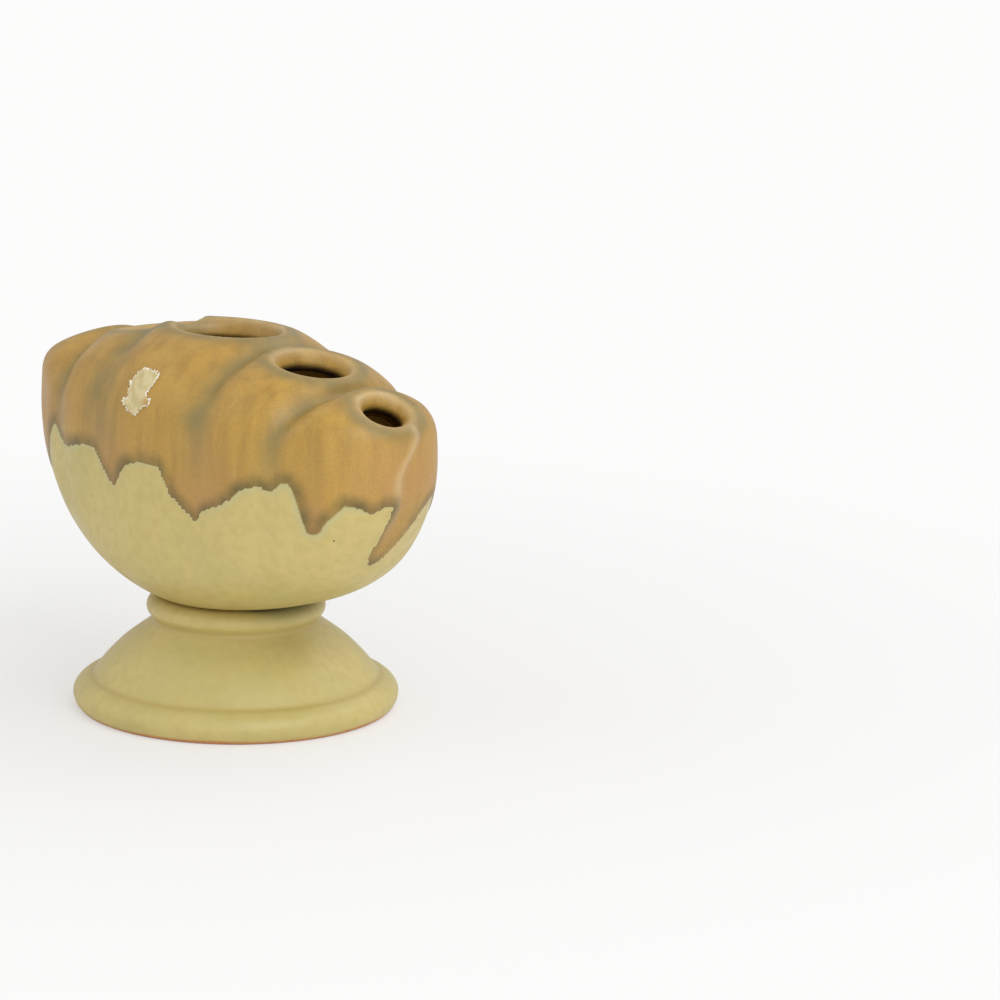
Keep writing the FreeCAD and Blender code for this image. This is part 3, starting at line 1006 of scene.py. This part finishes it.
class FanPiece:
    """The glazed fan as a piece: bowl and five holders in one smooth skin."""

    STEP = 1.25
    LOW = np.array([-109.0, -57.0, 42.0])
    HIGH = np.array([109.0, 57.0, 160.0])
    SKIN = 1.5
    GLAZE_THICK = 0.22
    GLAZE_EDGE = 2.5
    BEAD_THICK = 0.18
    BEAD_MIDDLE = 1.5
    BEAD_WIDTH = 1.6
    RUN_INSIDE = 20.0
    # Middle and width of the painted highlight along the lips, from the throat wall and from the
    # mouth plane
    LIP_MIDDLE = (0.7, -0.9)
    LIP_WIDTH = (0.8, 1.0)
    # Start and length of the painted shade further inside the hollow
    HOLLOW_START = 8.0
    HOLLOW_LENGTH = 2.0

    def __init__(self, fan: Fan, finish: GlazeFinish) -> None:
        """Keep the form and its finish.

        Args:
            fan: The form.
            finish: The glazes.
        """
        self.fan = fan
        self.finish = finish

    def mesh(self) -> bpy.types.Object:
        """Skin the form.

        Returns:
            The new object.
        """
        axes = [np.arange(low, high, self.STEP) for low, high in zip(self.LOW, self.HIGH)]
        grid = np.stack(np.meshgrid(*axes, indexing="ij"), axis=-1).reshape(-1, 3)
        values = self.fan.clay(grid).reshape([len(axis) for axis in axes])
        points, quads = surface_net(values, self.LOW, self.STEP)
        points = settle(points, self.fan.clay)
        run = DripLine(self.fan).distance(points)
        outer = np.abs(self.fan.outside(points)) < self.SKIN
        bead = np.exp(-((run - self.BEAD_MIDDLE) / self.BEAD_WIDTH) ** 2)
        thick = ramp(run, 0.0, self.GLAZE_EDGE) * self.GLAZE_THICK + bead * self.BEAD_THICK
        points = points + outward_way(points, self.fan.clay) * (thick * outer)[:, None]
        piece = add_mesh("glazed_fan", points, quads)
        set_attribute(piece, "run", np.where(outer, run, self.RUN_INSIDE))
        self.paint(piece, points)
        return piece

    def paint(self, piece: bpy.types.Object, points: np.ndarray) -> None:
        """Give the mesh the other numbers that its glaze reads, among them the masks of its painted
        highlights and painted shade.

        Args:
            piece: The fan's object.
            points: Its points.
        """
        holders = self.fan.holders
        # The lip mask places the painted highlight on the edges of the mouths
        walls, planes = (np.min(np.abs(fields), axis=0) for fields in (
            [holder.throat(points) - self.LIP_MIDDLE[0] for holder in holders],
            [holder.frame(points).up - self.LIP_MIDDLE[1] for holder in holders]))
        lip = np.exp(-(walls / self.LIP_WIDTH[0]) ** 2 - (planes / self.LIP_WIDTH[1]) ** 2)
        # Painted shade inside the throats: dark below the lips' roll and deep within the outer
        # surface
        gloom = np.max([holder.gloom(points) for holder in holders], axis=0)
        deep = ramp(-self.fan.outside(points), self.HOLLOW_START, self.HOLLOW_LENGTH)
        # The seam mask also carries the painted highlight along the seam's ridge
        seam = self.fan.seam(points) / self.fan.sizes.seam_height
        set_attribute(piece, "height", points[:, 2])
        # Valley nearness masks the painted shade between the holders
        set_attribute(piece, "valley", self.fan.valley_nearness(points))
        set_attribute(piece, "rim", np.max([h.rim_nearness(points) for h in holders], axis=0))
        set_attribute(piece, "lip", lip)
        set_attribute(piece, "hollow", np.maximum(gloom, deep))
        set_attribute(piece, "seam", np.clip(seam, 0.0, 1.0))

    def dress(self, piece: bpy.types.Object) -> None:
        """Put the glaze on and stand the piece in for its solids.

        Args:
            piece: The fan's object.
        """
        piece.data.materials.append(self.finish.fan_material())
        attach(piece, "root")
        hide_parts("bowl", "finger_far_left", "finger_left", "finger_centre",
                    "finger_right", "finger_far_right")


@dataclass(frozen=True)
class FootSizes:
    """Profile of the foot and its collar, as (radius, height) from the hollow outwards.

    The bare clay ends at a wavy height over the floor. The grooves are painted darker, for the
    glaze lying deeper there and as painted shade, each given by its radius, its height and its
    width.
    """

    inner: tuple = ((25.6, 46.4), (25.6, 30), (33, 24), (44, 16.5), (54.5, 8), (56.5, 3),
                    (56.7, 0.7), (57.4, 0.0))
    outer: tuple = ((62.0, 0.0), (63.2, 0.7), (64.6, 2.6), (65.4, 5.5), (64.9, 7.8),
                    (63.2, 10.0), (60.6, 11.7), (58.4, 12.5), (57.3, 13.3), (55.8, 15.2),
                    (52.6, 19.2), (47.2, 24.8), (42.2, 28.9), (38.2, 31.8), (35.5, 33.9),
                    (34.0, 35.4), (33.6, 36.6), (34.3, 37.9), (35.5, 39.4), (36.0, 41.2),
                    (35.6, 43.0), (34.3, 44.6), (32.4, 45.8), (30.0, 46.4))
    sides: int = 160
    steps: int = 4
    bare_height: float = 2.0
    bare_wave: float = 0.5
    bare_blend: float = 0.8
    grooves: tuple = ((58.0, 12.8, 1.5), (33.8, 36.4, 1.5), (31.0, 46.2, 1.8))


class Foot:
    """The turned foot with its collar, as one glazed piece."""

    def __init__(self, sizes: FootSizes, finish: GlazeFinish) -> None:
        """Keep the sizes and the finish.

        Args:
            sizes: The profile.
            finish: The glazes.
        """
        self.sizes = sizes
        self.finish = finish

    def profile(self) -> np.ndarray:
        """Smooth the profile through its points.

        Returns:
            Rows of radius and height.
        """
        rows = []
        for part in (self.sizes.inner, self.sizes.outer):
            knots = np.array(part)
            ahead = np.vstack([knots[0], knots, knots[-1]])
            for index in range(len(knots) - 1):
                a, b, c, d = ahead[index:index + 4]
                for share in np.arange(self.sizes.steps) / self.sizes.steps:
                    rows.append(0.5 * (2 * b + (c - a) * share
                                       + (2 * a - 5 * b + 4 * c - d) * share ** 2
                                       + (3 * b - a - 3 * c + d) * share ** 3))
            rows.append(knots[-1])
        return np.array(rows)

    def mesh(self) -> bpy.types.Object:
        """Turn the profile about the vase's axis.

        Returns:
            The new object.
        """
        s = self.sizes
        sides = s.sides
        rows = self.profile()
        turns = np.arange(sides) * 2 * math.pi / sides
        points = []
        for radius, height in rows:
            points.append(np.stack([radius * np.cos(turns), radius * np.sin(turns),
                                    np.full(len(turns), max(height, 0.0))], axis=1))
        faces = []
        count = len(rows)
        for row in range(count):
            after = (row + 1) % count
            for turn in range(sides):
                beside = (turn + 1) % sides
                faces.append((row * sides + turn, row * sides + beside,
                              after * sides + beside, after * sides + turn))
        piece = add_mesh("glazed_foot", np.concatenate(points), faces)
        heights = np.repeat(rows[:, 1], sides)
        radii = np.repeat(rows[:, 0], sides)
        outward = np.repeat(np.arange(count) >= (len(s.inner) - 1) * s.steps, sides)
        wave = 0.5 * np.sin(np.tile(turns, count) * 5) + 0.3 * np.sin(np.tile(turns, count) * 13)
        bare = np.clip((s.bare_height + s.bare_wave * wave - heights) / s.bare_blend, 0.0, 1.0)
        set_attribute(piece, "bare", np.maximum(bare, 1.0 - outward))
        # Darker bands in the grooves: pooled glaze together with painted shade
        darker_band = sum(np.exp(-((radii - r) ** 2 + (heights - h) ** 2) / w ** 2)
                     for r, h, w in s.grooves)
        set_attribute(piece, "darker_band", np.clip(darker_band * outward, 0.0, 1.0))
        return piece

    def dress(self, piece: bpy.types.Object) -> None:
        """Put the glaze on and stand the piece in for its solids.

        Args:
            piece: The foot's object.
        """
        piece.data.materials.append(self.finish.foot_material())
        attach(piece, "root")
        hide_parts("foot", "collar_ring")


@dataclass(frozen=True)
class LabelSizes:
    """Torn outline of the label seen from the front, as (x, z) in order, and its other sizes.

    Each fret of the torn edge has a depth and its turns along x and along z.
    """

    outline: tuple = ((-7.8, 143.8), (2.3, 143.0), (1.4, 137.5), (-1.0, 134.6), (0.2, 133.4),
                      (2.4, 133.9), (1.4, 129.6), (-1.2, 129.4), (-5.2, 124.8), (-11.0, 126.0),
                      (-15.3, 129.8), (-14.0, 131.5), (-12.4, 131.4), (-12.9, 134.0),
                      (-12.0, 136.0), (-12.7, 138.0), (-11.0, 140.6), (-9.6, 142.4))
    thickness: float = 0.3
    cells: float = 0.45
    across: tuple = (-17, 4)
    upright: tuple = (123, 146)
    frets: tuple = ((0.35, 5.1, 2.3), (0.25, -3.1, 7.3))
    start_y: float = -45.0
    lifted: float = 0.25
    curl: float = 0.55
    curl_width: float = 1.5
    glue_spot: tuple = (0.0, 130.5)
    glue_spread: float = 3.4


@dataclass(frozen=True)
class PaperFinish:
    """Colours of the torn paper."""

    paper: Rgb = linear(222, 206, 158)
    stain: Rgb = linear(186, 142, 70)
    torn: Rgb = linear(244, 238, 218)
    aged: Rgb = linear(204, 186, 134)

    def material(self) -> bpy.types.Material:
        """Make the paper.

        Returns:
            The material.
        """
        material = bpy.data.materials.new("torn_paper")
        nodes = Nodes(material)
        colour = nodes.mix(nodes.span(nodes.noise(260.0, 4.0), 0.38, 0.66), self.paper, self.aged)
        colour = nodes.mix(nodes.attribute("stain"), colour, self.stain)
        ragged = nodes.math("MULTIPLY", nodes.noise(700.0, 3.0), 1.7)
        torn = nodes.math("MULTIPLY", nodes.attribute("torn"), ragged)
        colour = nodes.mix(nodes.span(torn, 0.30, 0.75), colour, self.torn)
        nodes.join(colour, nodes.shader.inputs["Base Color"])
        nodes.shader.inputs["Roughness"].default_value = 0.72
        nodes.bump(nodes.noise(900.0, 4.0), 0.0002, 0.5)
        return material


class Label:
    """The torn scrap of paper on the centre holder."""

    def __init__(self, sizes: LabelSizes, fan: Fan, finish: PaperFinish) -> None:
        """Keep the sizes, the form it lies on and its finish.

        Args:
            sizes: The outline.
            fan: The fan that carries it.
            finish: The paper.
        """
        self.sizes = sizes
        self.fan = fan
        self.finish = finish

    def edge_distance(self, spots: np.ndarray) -> np.ndarray:
        """Measure how far inside the torn outline each spot lies.

        Args:
            spots: Rows of x and z.

        Returns:
            Distances, negative outside.
        """
        corners = np.array(self.sizes.outline)
        nearest = np.full(len(spots), 99.0)
        inside = np.zeros(len(spots), dtype=bool)
        for start, end in zip(corners, np.roll(corners, -1, axis=0)):
            way = end - start
            share = np.clip((spots - start) @ way / (way @ way), 0.0, 1.0)
            gap = np.linalg.norm(spots - start - share[:, None] * way, axis=1)
            nearest = np.minimum(nearest, gap)
            level = (start[1] > spots[:, 1]) != (end[1] > spots[:, 1])
            rise = way[1] if way[1] else 1e-9
            cross = start[0] + way[0] * (spots[:, 1] - start[1]) / rise
            inside ^= level & (spots[:, 0] < cross)
        return np.where(inside, nearest, -nearest)

    def laid(self, spots: np.ndarray, rounds: int = 14) -> np.ndarray:
        """Lay spots of the outline on the front of the fan.

        Args:
            spots: Rows of x and z.
            rounds: How many steps each spot takes towards the clay.

        Returns:
            Points on the fan.
        """
        points = np.stack([spots[:, 0], np.full(len(spots), self.sizes.start_y), spots[:, 1]],
                          axis=1)
        for _ in range(rounds):
            points[:, 1] += np.clip(self.fan.outside(points), -2.0, 2.0) * 0.9
        return points

    def mesh(self) -> bpy.types.Object:
        """Lay the paper on the holder, with its torn edge fretted.

        Returns:
            The new object.
        """
        s = self.sizes
        x, z = np.meshgrid(np.arange(*s.across, s.cells), np.arange(*s.upright, s.cells),
                           indexing="ij")
        shape = x.shape
        spots = np.stack([x.ravel(), z.ravel()], axis=1)
        inner = self.edge_distance(spots)
        fret = sum(depth * np.sin(spots[:, 0] * along_x + spots[:, 1] * along_z)
                   for depth, along_x, along_z in s.frets)
        kept = (inner + fret > 0).reshape(shape)
        cells = kept[:-1, :-1] & kept[1:, :-1] & kept[1:, 1:] & kept[:-1, 1:]
        front = self.laid(spots)
        way = outward_way(front, self.fan.outside)
        curl = np.clip(s.curl_width - inner, 0.0, s.curl_width) / s.curl_width
        patch = 0.5 + 0.5 * np.sin(spots[:, 0] * 0.9 + spots[:, 1] * 0.6)
        lift = s.thickness + s.lifted + s.curl * curl ** 2 * patch
        numbers = np.arange(len(spots)).reshape(shape)
        upper = front + way * lift[:, None]
        lower = front + way * (lift - s.thickness)[:, None]
        total = len(spots)
        faces = []
        for i, k in np.argwhere(cells):
            ring = [numbers[i, k], numbers[i + 1, k], numbers[i + 1, k + 1], numbers[i, k + 1]]
            faces.append(ring)
            faces.append([n + total for n in ring[::-1]])
            for side, (di, dk) in enumerate(((0, -1), (1, 0), (0, 1), (-1, 0))):
                ni, nk = i + di, k + dk
                beyond = 0 <= ni < cells.shape[0] and 0 <= nk < cells.shape[1]
                if not (beyond and cells[ni, nk]):
                    a, b = ring[side], ring[(side + 1) % 4]
                    faces.append([b, a, a + total, b + total])
        used = np.unique(np.concatenate([np.array(f) for f in faces]))
        remap = np.full(total * 2, -1)
        remap[used] = np.arange(len(used))
        points = np.concatenate([upper, lower])[used]
        piece = add_mesh("torn_label", points, [[remap[n] for n in face] for face in faces])
        both = np.tile(np.arange(total), 2)[used]
        set_attribute(piece, "torn", np.clip(1.4 - inner[both] / 1.1, 0.0, 1.0))
        near = np.hypot(spots[both, 0] - s.glue_spot[0], spots[both, 1] - s.glue_spot[1])
        set_attribute(piece, "stain", np.clip(1.2 - near / s.glue_spread, 0.0, 0.85))
        return piece

    def dress(self, piece: bpy.types.Object) -> None:
        """Put the paper's look on and stand the piece in for its solid.

        Args:
            piece: The label's object.
        """
        piece.data.materials.append(self.finish.material())
        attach(piece, "root")
        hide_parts("paper_label")


def toward(azimuth: float, elevation: float) -> Vector:
    """Return the direction to a place round the vase.

    Args:
        azimuth: Degrees round from the front, positive towards +X.
        elevation: Degrees over the floor.

    Returns:
        A direction of unit length.
    """
    turn, rise = math.radians(azimuth), math.radians(elevation)
    return Vector((math.sin(turn) * math.cos(rise), -math.cos(turn) * math.cos(rise),
                   math.sin(rise)))


class Lamp(Enum):
    """The soft lamps: direction to the lamp as azimuth and elevation, power, size in metres."""

    KEY = (80.0, 42.0, 15.0, 1.8)
    FRONT = (45.0, 14.0, 5.5, 1.8)
    FILL = (-40.0, 35.0, 3.5, 2.0)
    BACK = (165.0, 50.0, 7.0, 1.8)


@dataclass(frozen=True)
class StudioSizes:
    """The camera's place and the light and size of the room, in degrees and metres."""

    azimuth: float = 48.2
    elevation: float = 13.70
    distance: float = 3.0
    heading: float = 46.126
    pitch: float = 13.889
    roll: float = 0.6
    lens: float = 270.0
    aim_height: float = 0.095
    world: float = 0.60
    lamp_middle: float = 0.09
    lamp_distance: float = 2.0
    floor_side: float = 12.0


class Studio:
    """The pale room: floor, lamps and camera."""

    def __init__(self, sizes: StudioSizes) -> None:
        """Keep the sizes.

        Args:
            sizes: The room's sizes.
        """
        self.sizes = sizes

    def camera(self) -> None:
        """Place the camera where the photo was taken from."""
        s = self.sizes
        data = bpy.data.cameras.new("camera")
        data.lens = s.lens
        data.sensor_width = 36.0
        data.clip_end = 50.0
        camera = bpy.data.objects.new("camera", data)
        camera.location = Vector((0, 0, s.aim_height)) + toward(s.azimuth, s.elevation) * s.distance
        tilt = math.radians(90.0 - s.pitch)
        aim = Euler((tilt, 0.0, math.radians(s.heading))).to_matrix()
        spin = Matrix.Rotation(math.radians(s.roll), 3, "Z")
        camera.rotation_euler = (aim @ spin).to_euler()
        bpy.context.scene.collection.objects.link(camera)
        bpy.context.scene.camera = camera

    def lamps(self) -> None:
        """Hang the soft lamps round the vase."""
        middle = Vector((0, 0, self.sizes.lamp_middle))
        for lamp in Lamp:
            azimuth, elevation, power, size = lamp.value
            away = toward(azimuth, elevation)
            data = bpy.data.lights.new(f"lamp_{lamp.name.lower()}", "AREA")
            data.shape = "DISK"
            data.size = size
            data.energy = power
            hung = bpy.data.objects.new(data.name, data)
            hung.location = middle + away * self.sizes.lamp_distance
            hung.rotation_euler = away.to_track_quat("Z", "Y").to_euler()
            bpy.context.scene.collection.objects.link(hung)

    def floor_material(self) -> bpy.types.Material:
        """Make the pale floor, which runs out into the white of the room.

        Returns:
            The material.
        """
        material = bpy.data.materials.new("floor_white")
        nodes = Nodes(material)
        nodes.shader.inputs["Base Color"].default_value = (0.90, 0.895, 0.89, 1)
        nodes.shader.inputs["Roughness"].default_value = 0.7
        glow = nodes.tree.nodes.new("ShaderNodeEmission")
        glow.inputs["Color"].default_value = (0.975, 0.972, 0.968, 1)
        path = nodes.tree.nodes.new("ShaderNodeLightPath")
        away = nodes.tree.nodes.new("ShaderNodeVectorMath")
        away.operation = "LENGTH"
        nodes.join(nodes.coordinates, away.inputs[0])
        share = nodes.span(away.outputs["Value"], 0.10, 0.50, 0.45, 1.0)
        share = nodes.math("MULTIPLY", share, path.outputs["Is Camera Ray"])
        mix = nodes.tree.nodes.new("ShaderNodeMixShader")
        nodes.join(share, mix.inputs[0])
        nodes.join(nodes.shader.outputs[0], mix.inputs[1])
        nodes.join(glow.outputs[0], mix.inputs[2])
        nodes.join(mix.outputs[0], nodes.output.inputs[0])
        return material

    def room(self) -> None:
        """Lay the pale floor and light the room evenly."""
        world = bpy.data.worlds.new("room")
        world.use_nodes = True
        tree = world.node_tree
        tree.nodes.clear()
        output = tree.nodes.new("ShaderNodeOutputWorld")
        path = tree.nodes.new("ShaderNodeLightPath")
        mix = tree.nodes.new("ShaderNodeMixShader")
        tree.links.new(path.outputs["Is Camera Ray"], mix.inputs[0])
        for place, strength in ((1, self.sizes.world), (2, 1.0)):
            light = tree.nodes.new("ShaderNodeBackground")
            light.inputs["Color"].default_value = (1, 1, 1, 1)
            light.inputs["Strength"].default_value = strength
            tree.links.new(light.outputs[0], mix.inputs[place])
        tree.links.new(mix.outputs[0], output.inputs[0])
        bpy.context.scene.world = world
        half = self.sizes.floor_side / 2 / MM
        corners = np.array([(-half, -half, 0), (half, -half, 0), (half, half, 0), (-half, half, 0)])
        floor = add_mesh("floor", corners, [(0, 1, 2, 3)])
        floor.data.materials.append(self.floor_material())


def make_fan() -> Fan:
    """Set out the five holders on the fan.

    Returns:
        The fan.
    """
    centre = HolderSizes(mouth_x=-4.8, mouth_z=154.1, lean=-1.3, hole=(24.8, 19.6),
                         top=(29.3, 22.2), shoulder=(50.0, 50.0), shoulder_drop=34.0,
                         lip_roll=3.2)
    inner = HolderSizes(mouth_x=45.4, mouth_z=148.0, lean=10.5, hole=(15.6, 16.8),
                        top=(19.8, 19.8), shoulder=(35.0, 47.0), shoulder_drop=32.0,
                        lip_roll=3.4, roll_drop=5.8)
    outer = HolderSizes(mouth_x=87.4, mouth_z=136.4, lean=29.0, hole=(10.2, 11.8),
                        top=(15.0, 16.0), shoulder=(27.0, 40.5), shoulder_drop=26.0,
                        lip_roll=2.8, roll_drop=5.0)
    rows = [outer.mirrored(), inner.mirrored(), centre, inner, outer]
    return Fan(FanSizes(), [Holder(row) for row in rows])


def main() -> None:
    """Build the vase and its room, piece by piece."""
    logging.basicConfig(level=logging.INFO, format="%(name)s: %(message)s")
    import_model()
    bpy.context.scene.view_settings.view_transform = "Standard"
    fan = make_fan()
    finish = GlazeFinish()
    parts = [FanPiece(fan, finish), Foot(FootSizes(), finish),
             Label(LabelSizes(), fan, PaperFinish())]
    for part in parts:
        piece = part.mesh()
        part.dress(piece)
        LOG.info("%s: %d points", piece.name, len(piece.data.vertices))
    studio = Studio(StudioSizes())
    studio.room()
    studio.lamps()
    studio.camera()


if __name__ == "__main__":
    main()
